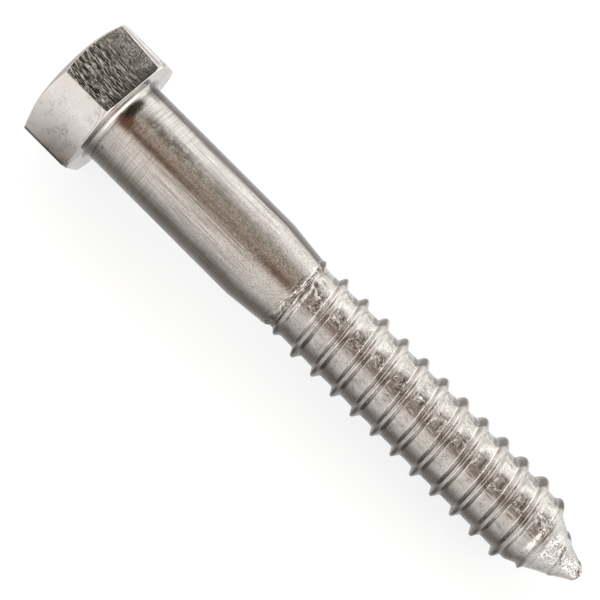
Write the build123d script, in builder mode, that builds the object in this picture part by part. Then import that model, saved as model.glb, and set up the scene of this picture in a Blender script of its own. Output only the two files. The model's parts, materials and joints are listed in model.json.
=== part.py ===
"""Hex lag bolt, 3/4 in by 5 in with 4 1/2 threads to the inch, in stainless steel.

One forging: a hex head, a plain shank, a neck that tapers down to the thread root, and a
coarse right-hand wood thread that runs out on a blunt gimlet point. The bolt is drawn on its
own axis, with the bearing face of the head at height 0 and the point upwards. It is then laid
down as it comes to rest, on one flat of the head and on the last full crest of the thread.
"""

import math
import os

from build123d import *

# Lengths in millimetres and angles in degrees, all measured along or about the bolt's axis.
length_under_head = 130.7

head_across_flats = 28.4
head_height = 12.6
head_top_circle = 26.2
head_top_chamfer = 25.0
# Across the cut-off corners at the bearing face.
head_under_corners = 30.4
head_under_chamfer = 30.0
under_head_fillet = 0.9

shank_diameter = 19.4
shank_length = 39.9
neck_length = 9.6
neck_end_diameter = 17.3
neck_shoulder_length = 0.8

thread_pitch = 25.4 / 4.5
thread_diameter = 19.2
thread_root_diameter = 16.1
thread_base_width = 2.7
thread_crest_width = 0.3
thread_fillet_width = 0.45
thread_fillet_height = 0.3
thread_bury = 0.3
thread_run_in = 5.8
# The full crest ends this far short of the point's cone.
thread_lead_out = 2.2
# How far the thread's first full section is turned from the flat that lies upwards.
thread_turn = -62.8

point_length = 13.9
point_end_diameter = 2.1
# How near the axis the ridge's root line comes at the blunt end.
point_ridge_end_radius = 0.3362

# Worked out from the sizes above.
head_radius = head_across_flats / 2
head_corner_radius = head_radius / math.cos(math.radians(30))
# The turned outline of the head passes clear outside its corners.
head_turning_radius = 2 * head_corner_radius - head_radius
top_chamfer_rise = math.tan(math.radians(head_top_chamfer))
top_chamfer_depth = (head_turning_radius - head_top_circle / 2) * top_chamfer_rise
shank_radius = shank_diameter / 2
neck_end_radius = neck_end_diameter / 2
root_radius = thread_root_diameter / 2
thread_radius = thread_diameter / 2
point_end_radius = point_end_diameter / 2
neck_end = shank_length + neck_length
thread_start = neck_end + thread_run_in
point_start = length_under_head - point_length
thread_end = point_start - thread_lead_out
thread_full_turns = (thread_end - thread_start) / thread_pitch
run_in_angle = math.degrees(math.atan2(thread_radius - root_radius, thread_run_in))
point_ridge_length = length_under_head - thread_end
point_ridge_fall = root_radius - point_ridge_end_radius
point_ridge_angle = math.degrees(math.atan2(point_ridge_fall, point_ridge_length))


def thread_ridge(height, cone_angle=0.0):
    """A length of the thread's ridge, from a full axial section at angle 0 up its helix."""
    crest = thread_crest_width / 2
    knee = thread_base_width / 2 - thread_fillet_width
    foot = thread_base_width / 2 + thread_fillet_width * thread_bury / thread_fillet_height
    with BuildPart() as ridge:
        with BuildLine():
            Helix(thread_pitch, height, root_radius, cone_angle=cone_angle)
        with BuildSketch(Plane.XZ):
            with BuildLine():
                Polyline(
                    (root_radius - thread_bury, -foot),
                    (root_radius + thread_fillet_height, -knee),
                    (thread_radius, -crest),
                    (thread_radius, crest),
                    (root_radius + thread_fillet_height, knee),
                    (root_radius - thread_bury, foot),
                    close=True,
                )
            make_face()
        sweep(is_frenet=True)
    return ridge.part


with BuildPart() as bolt_on_axis:
    # Hex head, with its corners cut off flat on the bearing side and turned off above.
    with BuildSketch():
        RegularPolygon(head_radius, 6, major_radius=False, rotation=30)
    extrude(amount=-head_height)
    with BuildSketch():
        RegularPolygon(head_under_corners / 2, 6, major_radius=False)
    extrude(amount=-head_height, taper=head_under_chamfer - 90, mode=Mode.INTERSECT)
    with BuildSketch(Plane.XZ):
        with BuildLine():
            Polyline(
                (0, 0),
                (head_turning_radius, 0),
                (head_turning_radius, top_chamfer_depth - head_height),
                (head_top_circle / 2, -head_height),
                (0, -head_height),
                close=True,
            )
        make_face()
    revolve(axis=Axis.Z, mode=Mode.INTERSECT)

    # Shank, tapered neck, thread root and the cone of the point, turned in one outline.
    with BuildSketch(Plane.XZ):
        with BuildLine():
            Polyline(
                (0, 0),
                (shank_radius, 0),
                (shank_radius, shank_length),
                (neck_end_radius, neck_end),
                (root_radius, neck_end + neck_shoulder_length),
                (root_radius, point_start),
                (point_end_radius, length_under_head),
                (0, length_under_head),
                close=True,
            )
        make_face()
    revolve(axis=Axis.Z)
    under_head = edges().filter_by(GeomType.CIRCLE).filter_by_position(Axis.Z, 0, 0)
    fillet(under_head.sort_by(SortBy.RADIUS)[0], under_head_fillet)

    # Thread: full height along the root, faded in at the neck and run out down the point.
    thread_foot = Location((0, 0, thread_start), (0, 0, thread_turn))
    thread_head = Location((0, 0, thread_end), (0, 0, thread_turn + 360 * thread_full_turns))
    with Locations(thread_foot):
        add(thread_ridge(thread_end - thread_start))
    with Locations(thread_foot * Rotation(180, 0, 0)):
        add(thread_ridge(thread_run_in, -run_in_angle))
    with Locations(thread_head):
        add(thread_ridge(point_ridge_length, -point_ridge_angle))
    split(bisect_by=Plane.XY.offset(length_under_head), keep=Keep.BOTTOM)

# The bolt rests on the edge of one flat and on the last full crest that lies under it.
first_crest = thread_start + thread_pitch * ((180 - thread_turn) / 360 % 1)
last_crest = first_crest + thread_pitch * math.floor((thread_end - first_crest) / thread_pitch)
resting_tilt = math.atan2(head_radius - thread_radius, last_crest + thread_crest_width / 2)
tilt_sin = math.sin(resting_tilt)
tilt_cos = math.cos(resting_tilt)

# The origin is on the surface under the middle of the lying bolt, with the point towards +X.
head_reach = head_height * tilt_cos + head_top_circle / 2 * tilt_sin
point_reach = length_under_head * tilt_cos + point_end_radius * tilt_sin
bearing_centre = ((head_reach - point_reach) / 2, 0, head_radius * tilt_cos)
resting_plane = Plane(bearing_centre, x_dir=(tilt_sin, 0, tilt_cos), z_dir=(tilt_cos, 0, -tilt_sin))

with BuildPart(resting_plane) as lag_bolt:
    add(bolt_on_axis.part)

lag_bolt.part.label = "lag_bolt"
os.makedirs("parts", exist_ok=True)
export_step(lag_bolt.part, "parts/lag_bolt.step")
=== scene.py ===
"""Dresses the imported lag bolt: its worn metal surface, a pale floor, soft studio light and a camera."""

import json
import math

import bmesh
import bpy
import numpy as np
from bpy.props import FloatProperty, FloatVectorProperty, IntProperty, PointerProperty
from bpy.types import Operator, Panel, PropertyGroup
from mathutils import Matrix, Vector


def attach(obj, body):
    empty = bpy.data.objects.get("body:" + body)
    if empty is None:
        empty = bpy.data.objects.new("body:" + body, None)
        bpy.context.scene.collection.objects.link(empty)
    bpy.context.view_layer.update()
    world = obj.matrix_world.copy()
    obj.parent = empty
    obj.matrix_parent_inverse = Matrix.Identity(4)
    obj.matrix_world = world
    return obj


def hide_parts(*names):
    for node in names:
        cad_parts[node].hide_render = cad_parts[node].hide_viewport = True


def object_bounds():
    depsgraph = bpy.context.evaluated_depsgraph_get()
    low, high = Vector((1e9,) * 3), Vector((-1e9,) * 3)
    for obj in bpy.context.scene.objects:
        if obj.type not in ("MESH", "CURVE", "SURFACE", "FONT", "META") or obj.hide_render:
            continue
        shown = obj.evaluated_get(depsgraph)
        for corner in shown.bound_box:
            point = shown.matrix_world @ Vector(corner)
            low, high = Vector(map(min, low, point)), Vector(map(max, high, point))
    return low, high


bl_info = {
    "name": "Lag Bolt",
    "version": (1, 0, 0),
    "blender": (4, 5, 0),
    "location": "View3D > Sidebar > Lag Bolt",
    "description": "Builds a stainless steel hex lag bolt on a pale floor in soft studio light",
    "category": "Object",
}

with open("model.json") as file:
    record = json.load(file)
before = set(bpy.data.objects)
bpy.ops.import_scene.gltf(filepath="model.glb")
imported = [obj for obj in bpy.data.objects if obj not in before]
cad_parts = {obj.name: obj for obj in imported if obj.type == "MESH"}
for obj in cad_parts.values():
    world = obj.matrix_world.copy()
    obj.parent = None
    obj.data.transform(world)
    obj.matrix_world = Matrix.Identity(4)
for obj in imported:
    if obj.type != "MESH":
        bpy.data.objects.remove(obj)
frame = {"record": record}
cad_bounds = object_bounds()

MM = 0.001
INCH = 0.0254
mounts = {mount["name"]: mount for mount in frame["record"]["mounts"]}


def a_length(name, description, default, precision=4):
    """A length in metres."""
    return FloatProperty(
        name=name, description=description, default=default, unit="LENGTH", precision=precision)


def an_angle(name, description, degrees):
    """An angle, with its default in degrees."""
    return FloatProperty(
        name=name, description=description, default=math.radians(degrees), subtype="ANGLE")


def a_share(name, description, default, most=1.0):
    """A strength or a share, from 0 up."""
    return FloatProperty(
        name=name, description=description, default=default, min=0.0, max=most, subtype="FACTOR")


def a_colour(name, description, default):
    """A colour."""
    return FloatVectorProperty(
        name=name, description=description, default=default, subtype="COLOR", min=0.0, max=1.0)


class BoltSizes(PropertyGroup):
    """Sizes of the bolt, in the order from the head to the point."""

    length_under_head: a_length(
        "Length under head", "From the bearing face to the end of the point", 0.1307)
    head_across_flats: a_length("Across flats", "Wrench size of the head", 0.0284)
    head_height: a_length("Head height", "From the bearing face to the top of the head", 0.0126)
    head_top_circle: a_length("Top circle", "Across the flat top inside its chamfer", 0.0262)
    head_top_chamfer: an_angle("Top chamfer", "Angle of the chamfer against the top", 25.0)
    head_under_corners: a_length(
        "Across lower corners", "Across the cut-off corners at the bearing face", 0.0304)
    head_under_chamfer: an_angle(
        "Lower corner angle", "Angle of the cut-off corners against the bearing face", 30.0)
    corner_rounding: a_length("Corner rounding", "Radius along the hexagon's corners", 0.00035, 5)
    under_head_fillet: a_length(
        "Fillet", "Height of the fillet between the head and the shank", 0.0009, 5)
    shank_diameter: a_length("Shank diameter", "Across the plain shank", 0.0194)
    shank_length: a_length("Shank length", "From the bearing face to the start of the neck", 0.0399)
    neck_length: a_length("Neck length", "Length of the taper between the shank and the thread", 0.0096)
    neck_end_diameter: a_length("Neck end", "Across the thin end of the neck", 0.0173)
    neck_shoulder: a_length(
        "Neck shoulder", "Length of the step from the neck to the thread's root", 0.0008, 5)
    thread_pitch: a_length("Thread pitch", "Axial distance from crest to crest", INCH / 4.5, 5)
    thread_diameter: a_length("Thread diameter", "Across the full crests", 0.0192)
    thread_root_diameter: a_length("Root diameter", "Across the lands between the ridges", 0.0161)
    thread_run_in: a_length("Run-in", "Length over which the ridge rises out of the neck", 0.0058)
    thread_lead_out: a_length(
        "Lead-out", "How far the full crest ends short of the point's cone", 0.0022)
    thread_turn: an_angle("Thread turn", "Turn of the first full section from the upper flat", -62.8)
    point_length: a_length("Point length", "Length of the cone at the end", 0.0139)
    point_end_diameter: a_length("Point end", "Across the blunt end", 0.0021)
    point_ridge_angle: an_angle("Point ridge angle", "Slope of the crests along the point", 25.6)
    wear: a_share("Wear", "Strength of the dents, laps and ragged edges of the rolled metal", 1.0, 1.5)
    seed: IntProperty(
        name="Seed", description="Starts the scatter of dents and ripples", default=41)


class BoltColours(PropertyGroup):
    """Colours of the metal and of what has soiled it."""

    steel: a_colour("Steel", "Clean drawn and rolled stainless steel", (0.66, 0.63, 0.6))
    satin: a_colour("Satin flat", "Smooth wrench flats", (0.78, 0.735, 0.71))
    coarse_dark: a_colour(
        "Coarse flat, dark", "Hollows of the coarsely ground wrench flat", (0.035, 0.028, 0.023))
    coarse_light: a_colour(
        "Coarse flat, light", "Scratches of the coarsely ground wrench flat", (0.98, 0.93, 0.87))
    soot: a_colour("Scale", "Dark scale in hollows and along the thread", (0.03, 0.022, 0.018))
    rust: a_colour("Rust tint", "Reddish-brown stain", (0.24, 0.11, 0.07))
    # Painted shade: this colour multiplies into the metal low on the sides, where it stands for shade.
    underside_shade: a_colour(
        "Underside", "How much light the duller scale underneath leaves", (0.185, 0.168, 0.155))


class StudioSettings(PropertyGroup):
    """The floor, the light and the camera."""

    floor_colour: a_colour("Floor", "Pale matt floor", (0.97, 0.97, 0.965))
    floor_glow: a_share("Floor white", "Share of plain white in how the floor looks", 0.62)
    floor_radius: a_length("Floor radius", "Radius of the floor disc", 6.0, 2)
    camera_turn: an_angle("Camera turn", "Angle of the view about the bolt, from its upper flat", 26.8)
    camera_roll: an_angle("Camera roll", "Angle of the bolt across the picture", 45.0)
    camera_distance: a_length("Camera distance", "From the camera to the bolt's axis", 0.315, 2)
    camera_width: a_length("View width", "Width of the view at the bolt's axis", 0.12078, 5)
    camera_aim: a_length(
        "Aim", "Distance along the axis from the bearing face to the view's centre", 0.05126, 5)
    camera_side: a_length(
        "Side aim", "How far the view's centre stands beside the axis", -0.0002, 5)
    lamp_power: FloatProperty(
        name="Lamp power", description="Power of the large soft lamp", default=0.8, unit="POWER")


# ---- The bolt's own frame -------------------------------------------------------------------


class BoltFrame:
    """Places points given along, about and out from the bolt's axis into the frame, in metres."""

    def __init__(self, sizes):
        hexagon = mounts["wrench_hex"]
        self.axis = -Vector(hexagon["axis"]).normalized()
        self.bearing = Vector(hexagon["pos_m"]) + self.axis * sizes.head_height / 2
        self.side = Vector((0.0, 1.0, 0.0))
        self.up = self.axis.cross(self.side).normalized()

    def outward(self, degrees):
        """Direction away from the axis at an angle from the upper flat."""
        angle = math.radians(degrees)
        return self.up * math.cos(angle) - self.side * math.sin(angle)

    def place(self, along, degrees, radius):
        """Millimetres and degrees to metres in the frame, for whole arrays."""
        angle = np.radians(degrees)
        out = np.cos(angle)[..., None] * np.array(self.up)
        out = out - np.sin(angle)[..., None] * np.array(self.side)
        run = along[..., None] * np.array(self.axis)
        return np.array(self.bearing) + (run + radius[..., None] * out) * MM


class Ripple:
    """A smooth seeded waviness over the bolt's surface, closed round its axis."""

    def __init__(self, random, most, rate, count):
        turns = random.integers(-most, most + 1, count)
        self.waves = list(zip(turns, random.normal(0, rate, count), random.uniform(0, 2 * np.pi, count)))

    def __call__(self, z, degrees):
        angle = np.radians(degrees)
        total = sum(np.cos(turns * angle + speed * z + start) for turns, speed, start in self.waves)
        return total / math.sqrt(len(self.waves))


class Lattice:
    """Smooth seeded noise from -1 to 1 at points in millimetres."""

    SIDE = 32

    def __init__(self, random):
        self.values = random.uniform(-1, 1, (self.SIDE,) * 3)

    def __call__(self, points, scale):
        p = points * np.asarray(scale, float)
        cell = np.floor(p).astype(int)
        t = p - cell
        t = t * t * (3 - 2 * t)
        total = 0.0
        for corner in np.ndindex(2, 2, 2):
            share = np.prod(np.where(corner, t, 1 - t), axis=1)
            total = total + share * self.values[tuple((cell + corner).T % self.SIDE)]
        return total


def smooth(x, low, high):
    """Rises smoothly from 0 to 1 between two values."""
    t = np.clip((x - low) / (high - low), 0, 1)
    return t * t * (3 - 2 * t)


def window(x, rise, full, fade, end):
    """Rises smoothly from 0 to 1 and falls again."""
    return smooth(x, rise, full) * (1 - smooth(x, fade, end))


def turn_apart(a, b):
    """Smallest difference between two angles in degrees."""
    return (a - b + 180) % 360 - 180


def around(degrees, middle, reach):
    """1 about one angle, fading to 0 on both sides."""
    return np.exp(-((turn_apart(degrees, middle) / reach) ** 4))


# ---- The metal's shape ----------------------------------------------------------------------

# Cosine and sine of the 60 degrees between the faces of the head.
COS_60, SIN_60 = 0.5, 0.866
# The bevel worn on the corner beside the coarse flat: how far above the bearing face it is
# narrowest, its width there, and how much it widens per millimetre towards the shank.
BEVEL_TOP, BEVEL_WIDTH, BEVEL_SPREAD = 11.5, 0.7, 0.075
# The rolling dies met along this line, in degrees from the upper flat.
DIE_JOINT = 26
# Where the full sections of the thread give way to the point's own spiky ones.
POINT_SPIKES = 117
# Sections of the rolled ridge, as millimetres from the crest line and shares of its height:
# keen where it stands free of wear, dull where its crest is rubbed round, broad where its
# far flank was pressed out over the land, a spike near the point.
KEEN = ((-1.36, -1.27, -1.17, -0.5, -0.42, -0.34, -0.24, 0.0, 0.1, 0.2, 1.02, 1.14, 1.26),
        (0, 0.03, 0.1, 0.9, 0.965, 0.995, 1, 1, 0.99, 0.94, 0.1, 0.03, 0))
DULL = ((-1.42, -1.25, -1.08, -0.88, -0.7, -0.5, -0.3, 0.0, 0.2, 0.42, 0.6, 0.78, 0.95, 1.12, 1.3, 1.6),
        (0, 0.03, 0.11, 0.32, 0.6, 0.84, 0.96, 1, 0.99, 0.93, 0.8, 0.55, 0.27, 0.09, 0.02, 0))
BROAD = ((-1.42, -1.28, -1.14, -0.8, -0.62, -0.46, -0.3, -0.1, 0.14, 0.45, 0.8, 1.12, 1.45, 1.8, 2.15, 2.6),
         (0, 0.03, 0.11, 0.58, 0.8, 0.92, 0.98, 1, 0.94, 0.79, 0.58, 0.39, 0.22, 0.09, 0.025, 0))
SPIKE = ((-1.5, -1.1, -0.7, -0.35, -0.08, 0.15, 0.5, 0.85, 1.2),
         (0, 0.06, 0.3, 0.68, 1, 0.8, 0.38, 0.1, 0))
# Folds round the start of the thread: place from the neck's end, whether the left side alone
# has it, and width.
NECK_FOLDS = ((-1.25, True, 0.11), (-0.65, True, 0.13), (-0.05, False, 0.12), (0.42, False, 0.1))
# Marks on the first land: angle, place from the neck's end, length, width, lean, depth, soiling.
FIRST_LAND_MARKS = (
    (24, 0.9, 0.7, 1.6, 10, 0.28, 0.0), (10, 1.2, 0.9, 1.5, -5, -0.3, 0.9),
    (-4, 1.9, 1.4, 0.8, 30, -0.25, 1.0), (16, 2.7, 2.0, 0.35, 5, 0.16, 0.0),
    (4, 3.6, 1.6, 0.9, 10, -0.3, 0.95), (30, 2.2, 1.4, 0.5, -20, -0.14, 0.5),
    (40, 1.6, 0.35, 2.2, 0, -0.12, 0.6), (52, 2.1, 0.3, 2.6, 0, 0.12, 0.0),
    (22, 4.4, 1.8, 0.3, 0, -0.12, 0.3), (-16, 3.2, 1.2, 0.5, 15, -0.14, 0.5),
    (60, 3.2, 0.9, 0.9, 0, -0.12, 0.2), (44, 3.4, 0.6, 1.6, 10, 0.12, 0.0))


class BoltShape:
    """Radius and soiling of the bolt's surface, all in millimetres and degrees."""

    def __init__(self, sizes):
        mm = lambda value: value / MM
        self.length = mm(sizes.length_under_head)
        self.flat = mm(sizes.head_across_flats) / 2
        self.height = mm(sizes.head_height)
        self.top = mm(sizes.head_top_circle) / 2
        self.top_rise = math.tan(sizes.head_top_chamfer)
        self.lower = mm(sizes.head_under_corners) / 2
        self.lower_rise = math.tan(sizes.head_under_chamfer)
        self.rounding = mm(sizes.corner_rounding)
        self.fillet = mm(sizes.under_head_fillet)
        self.shank = mm(sizes.shank_diameter) / 2
        self.shank_end = mm(sizes.shank_length)
        self.neck_end = self.shank_end + mm(sizes.neck_length)
        self.neck = mm(sizes.neck_end_diameter) / 2
        self.shoulder = mm(sizes.neck_shoulder)
        self.pitch = mm(sizes.thread_pitch)
        self.crest = mm(sizes.thread_diameter) / 2
        self.root = mm(sizes.thread_root_diameter) / 2
        self.run_in = mm(sizes.thread_run_in)
        self.thread_start = self.neck_end + self.run_in
        self.point_start = self.length - mm(sizes.point_length)
        self.thread_end = self.point_start - mm(sizes.thread_lead_out)
        self.thread_turn = math.degrees(sizes.thread_turn)
        self.tip = mm(sizes.point_end_diameter) / 2
        self.cone_slope = (self.root - self.tip) / (self.length - self.point_start)
        self.ridge_slope = math.tan(sizes.point_ridge_angle)
        self.wear = sizes.wear
        self.random = np.random.default_rng(sizes.seed)
        # The first two waves are spare: they are drawn so that the others stay as they are.
        waves = ((19, 0.2, 14), (47, 0.6, 16), (7, 0.9, 12), (21, 2.2, 16), (9, 0.5, 10), (33, 0.9, 14))
        ripples = [Ripple(self.random, *wave) for wave in waves]
        self.land_ripple, self.land_fine, self.crest_ripple, self.crest_fine = ripples[2:]
        self.lattice = Lattice(self.random)
        self.marks = self.scatter()

    def hexagon(self, degrees):
        """Radius of the hexagon, with its corners rounded."""
        face = np.abs(turn_apart(degrees, np.round(degrees / 60) * 60))
        straight = self.flat / np.cos(np.radians(face))
        corner = np.radians(30 - face)
        centre = (self.flat - self.rounding) / math.cos(math.radians(30))
        inside = np.maximum(self.rounding**2 - (centre * np.sin(corner)) ** 2, 0)
        rounded = centre * np.cos(corner) + np.sqrt(inside)
        touch = math.degrees(
            math.atan2(self.rounding * COS_60, centre + self.rounding * SIN_60))
        return np.where(30 - face < touch, np.minimum(rounded, straight), straight)

    def bevel(self, z, degrees):
        """Radius of the bevel worn on the corner beside the coarse flat, wider towards the shank."""
        width = BEVEL_WIDTH + BEVEL_SPREAD * np.clip(z + BEVEL_TOP, 0, 10.5)
        half = math.radians(15)
        across = self.flat / math.cos(math.radians(30)) * math.cos(half) - math.sin(half) * width
        apart = turn_apart(degrees, -15)
        return np.where(np.abs(apart) < 40, across / np.cos(np.radians(np.clip(apart, -40, 40))), 99.0)

    def crest_height(self, z, degrees):
        """Axial distance of a point from the nearest crest line, and that crest's own height."""
        line = self.thread_start + self.pitch * (degrees - self.thread_turn) / 360
        turns = np.round((z - line) / self.pitch)
        crest_at = line + turns * self.pitch
        return z - crest_at, crest_at, turns

    def unrolled(self, z, degrees, radius):
        """Points in space, in millimetres, for noise that closes round the axis."""
        angle = np.radians(degrees)
        return np.stack([z, radius * np.cos(angle), radius * np.sin(angle)], 1)

    def core(self, z, degrees):
        """The surface without its ridge, and how deep its folds are."""
        places = self.unrolled(0 * z, degrees, self.root)
        left = window(degrees, 22, 60, 130, 165)
        ragged = (0.1 + 0.16 * left) * self.lattice(places, 0.5) + 0.16 * self.lattice(places, 1.2)
        ragged = ragged + 0.12 * self.lattice(places, 2.3)
        step = z - ragged * self.wear - self.neck_end
        neck = self.shank + (self.neck - self.shank) * np.clip(
            (z - self.shank_end) / (self.neck_end - self.shank_end), 0, 1)
        fall = 0.45 * smooth(step, -0.06, 0.14) + 0.55 * smooth(step, 0.42, self.shoulder)
        body = neck + (self.root - neck) * fall
        groove = np.zeros_like(body)
        for number, (place, on_left, width) in enumerate(NECK_FOLDS):
            share = left if on_left else 1.0
            at = step - place - 0.16 * self.lattice(places + 5.3 * number, 0.9)
            lip = np.exp(-((at / width) ** 2)) - 0.9 * np.exp(-(((at - 0.24) / width) ** 2))
            broken = np.clip(0.55 + 0.9 * self.lattice(places + 7.7 + number, 0.8), 0, 1)
            body = body + self.wear * 0.17 * lip * broken * share
            groove = np.maximum(groove, np.clip(-lip, 0, 1) * broken * share)
        cone = self.root - self.cone_slope * (z - self.point_start)
        lean = window(z, 116.5, 121.5, 124.0, 129.5)
        cone = cone + 0.42 * self.wear * lean * np.cos(np.radians(degrees - 117))
        return np.minimum(body, np.maximum(cone, self.tip * 0.9)), groove

    def ridge(self, z, degrees):
        """Height of the ridge over the core."""
        offset, crest_at, _ = self.crest_height(z, degrees)
        wear = self.wear
        offset = offset - 0.03 * wear * self.crest_ripple(crest_at, degrees)
        full = self.crest - self.root
        rise = np.clip((crest_at - self.neck_end + 0.9) / (self.run_in + 0.9), 0, 1)
        late = np.maximum(crest_at - self.thread_end, 0)
        on_cone = np.maximum(crest_at - self.point_start, 0)
        height = full * rise - self.ridge_slope * late + self.cone_slope * on_cone
        height = np.clip(height, 0, None)
        right = 0.5 + 0.5 * np.cos(np.radians(degrees + 63))
        height = height * (1 + 0.45 * (1 - right) * window(crest_at, 118, 120, 121, 124))
        height = height * (1 + 0.8 * right * window(crest_at, 115, 117, 117.6, 120))
        height = height * (1 - 0.6 * smooth(crest_at, 121.5, 124.5))
        height = height - wear * (0.03 + 0.03 * self.crest_ripple(crest_at * 1.3, degrees + 40))
        height = np.clip(height, 0, None)
        dull_share = smooth(right, 0.2, 0.85) * smooth(crest_at, 54, 66)
        rounded = 0.7 * smooth(right, 0.1, 0.6) * window(crest_at, 106, 112, 116.5, 119)
        dull_share = np.maximum(dull_share, rounded)
        broad_share = window(-degrees, -24, -8, 34, 54) * smooth(crest_at, 50, 55)
        u = offset / (0.62 + 0.38 * np.clip(height / full, 0, 1))
        keen = np.interp(u, *KEEN)
        keen = keen + (np.interp(u, *SPIKE) - keen) * smooth(crest_at, POINT_SPIKES, POINT_SPIKES + 2.5)
        dull = np.interp(u / (1 + 0.12 * smooth(crest_at, 70, 95)), *DULL)
        shape = keen + (dull - keen) * dull_share
        shape = shape + (np.interp(u, *BROAD) - shape) * broad_share
        nibble = 0.012 * self.crest_fine(crest_at, degrees) * np.clip(shape - 0.6, 0, 1) * 2
        return height * shape - wear * nibble * smooth(height, 0.4, 1.2)

    def scatter(self):
        """Marks that the rolling dies left: place, angle, length, width, lean, depth and soiling."""
        marks = []
        jitter = lambda spread: float(self.random.normal(0, spread))
        between = lambda low, high: float(self.random.uniform(low, high))
        line = lambda degrees, turn: (
            self.thread_start + self.pitch * ((degrees - self.thread_turn) / 360 + turn))

        def mark(along, degrees, length, width, lean, depth, soil):
            marks.append((along, degrees, length, width, math.radians(lean), depth, soil))

        for turn in range(-1, 12):
            joint = DIE_JOINT + jitter(1.2)
            for aside, length, depth, soil in (
                    (2.5, 1.5, -0.12, 0.5), (0, 1.7, 0.10, 0.0), (-2.5, 1.4, -0.12, 0.6)):
                mark(line(joint, turn + 0.42) + jitter(0.15), joint + aside, length, 0.26,
                     4 + jitter(6), depth, soil)
            mark(line(-24, turn + 0.45), -24 + jitter(1.5), 1.2, 0.24, jitter(6), -0.07, 0.5)
            mark(line(53, turn + 0.4), 53 + jitter(1.5), 1.1, 0.24, jitter(12), -0.06, 0.4)
            if turn > 6:
                mark(line(joint, turn + 0.5) + jitter(0.1), joint + 8, 1.6, 0.24, 4 + jitter(4), -0.12, 0.6)
            at = 9 + jitter(2.0)
            mark(line(at, turn + 0.63) + jitter(0.1), at, 0.55, 2.3, jitter(8), -0.12, 0.9)
            mark(line(1, turn + 0.38) + jitter(0.1), 1.5 + jitter(1.5), 1.1, 0.3, jitter(14), -0.1, 0.9)
            if turn > 5:
                at = -19 + jitter(2.5)
                mark(line(at, turn + 0.45) + jitter(0.3), at, 1.2, 0.2, jitter(8), -0.09, 0.7)
            for _ in range(3):
                at = between(32, 60)
                mark(line(at, turn + 0.5) + jitter(0.5), at, 0.5 + abs(jitter(0.35)), 0.16,
                     between(-60, 60), -0.05, 0.5)
            for _ in range(9):
                at = between(-180, 180)
                mark(line(at, turn + 0.5) + jitter(0.7), at, 0.3 + abs(jitter(0.3)),
                     0.18 + abs(jitter(0.08)), jitter(30), -0.05 - abs(jitter(0.03)), 0.5)
        mark(2.5, 68.4, 0.5, 0.3, 20, -0.09, 1.0)
        for _ in range(14):
            mark(between(6, 46), between(-180, 180), 0.5 + abs(jitter(0.5)),
                 0.12 + abs(jitter(0.05)), jitter(12), -0.03, 0.3)
        for at, along, *rest in FIRST_LAND_MARKS:
            mark(self.neck_end + along, at, *rest)
        return marks

    def press(self, z, degrees, radius):
        """Depth and soiling of all marks at the given points."""
        depth = np.zeros_like(z)
        soil = np.zeros_like(z)
        for along, at, length, width, lean, deep, dirt in self.marks:
            dz = z - along
            near = np.abs(dz) < 4
            if not near.any():
                continue
            da = np.radians(turn_apart(degrees[near], at)) * radius[near]
            x = dz[near] * math.cos(lean) + da * math.sin(lean)
            y = da * math.cos(lean) - dz[near] * math.sin(lean)
            q = (2 * x / length) ** 2 + (2 * y / width) ** 2
            dent = np.exp(-(q**1.3) * 0.9)
            lip = np.exp(-((np.sqrt(q) - 1.5) ** 2) * 5) * 0.22
            depth[near] += deep * (dent - lip * (deep < 0))
            soil[near] = np.maximum(soil[near], dirt * np.exp(-(q**1.2) * 0.55))
        return depth, soil

    def crumpled(self, z, degrees, points):
        """Where the lands are crushed into folds, and the height of the folds."""
        offset, _, turns = self.crest_height(z, degrees)
        land = smooth(np.abs(offset), 1.0, 1.5)
        wander = 5 * self.lattice(points + 1.7, 0.8)
        middle = around(degrees + wander, 12 + 2 * np.sin(turns * 1.7), 11.5)
        start = smooth(z, self.neck_end + 0.2, self.neck_end + 1.0)
        first = (1 - smooth(z, 54.5, 56.5)) * around(degrees, 13, 17)
        late = window(z, 112.5, 114, 118, 119) * around(degrees, 16, 22)
        patches = land * np.maximum(middle, first) * (1 - smooth(z, 117.5, 119))
        weight = start * np.clip(patches + 0.7 * late, 0, 1)
        weight = weight * np.clip(0.75 + 0.9 * self.lattice(points, 0.55), 0, 1)
        fold = self.lattice(points + 3.3, (0.55, 0.7, 0.7)) * 1.5
        small = 1 - np.abs(self.lattice(points + 9.1, (0.9, 1.1, 1.1))) * 1.9
        return weight, 0.7 * fold + 0.4 * small

    def thread(self, z, degrees):
        """Radius, soiling, flank share and crumpling of the neck, thread and point."""
        core, groove = self.core(z, degrees)
        ridge = self.ridge(z, degrees)
        late = smooth(z, 88, 108)
        on_thread = smooth(z, self.neck_end - 0.5, self.neck_end + 1.5)
        lumps = (0.022 + 0.02 * late) * self.land_ripple(z, degrees)
        lumps = lumps + (0.010 + 0.01 * late) * self.land_fine(z, degrees)
        fade = np.clip(core / 3, 0, 1) * on_thread * self.wear
        depth, soil = self.press(z, degrees, core)
        foot = 1 - smooth(ridge, 0.25, 0.9)
        crush, fold = self.crumpled(z, degrees, self.unrolled(z, degrees, core))
        depth = depth - crush * (0.13 - 0.16 * fold) * np.clip(core / 5, 0.2, 1)
        radius = core + ridge + (lumps * foot + depth * np.maximum(foot, 0.15)) * fade
        radius = np.minimum(radius, np.where(z < self.neck_end, self.shank, self.crest))
        flank = smooth(ridge, 0.12, 0.5)
        hollow = crush * smooth(-fold, -0.35, 0.35)
        soil = np.maximum(np.maximum(soil * np.maximum(foot, 0.2), 0.5 * hollow), 0.9 * groove)
        return radius, np.clip(soil, 0, 1) * self.wear, flank, crush


# ---- The metal's mesh -----------------------------------------------------------------------

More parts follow.
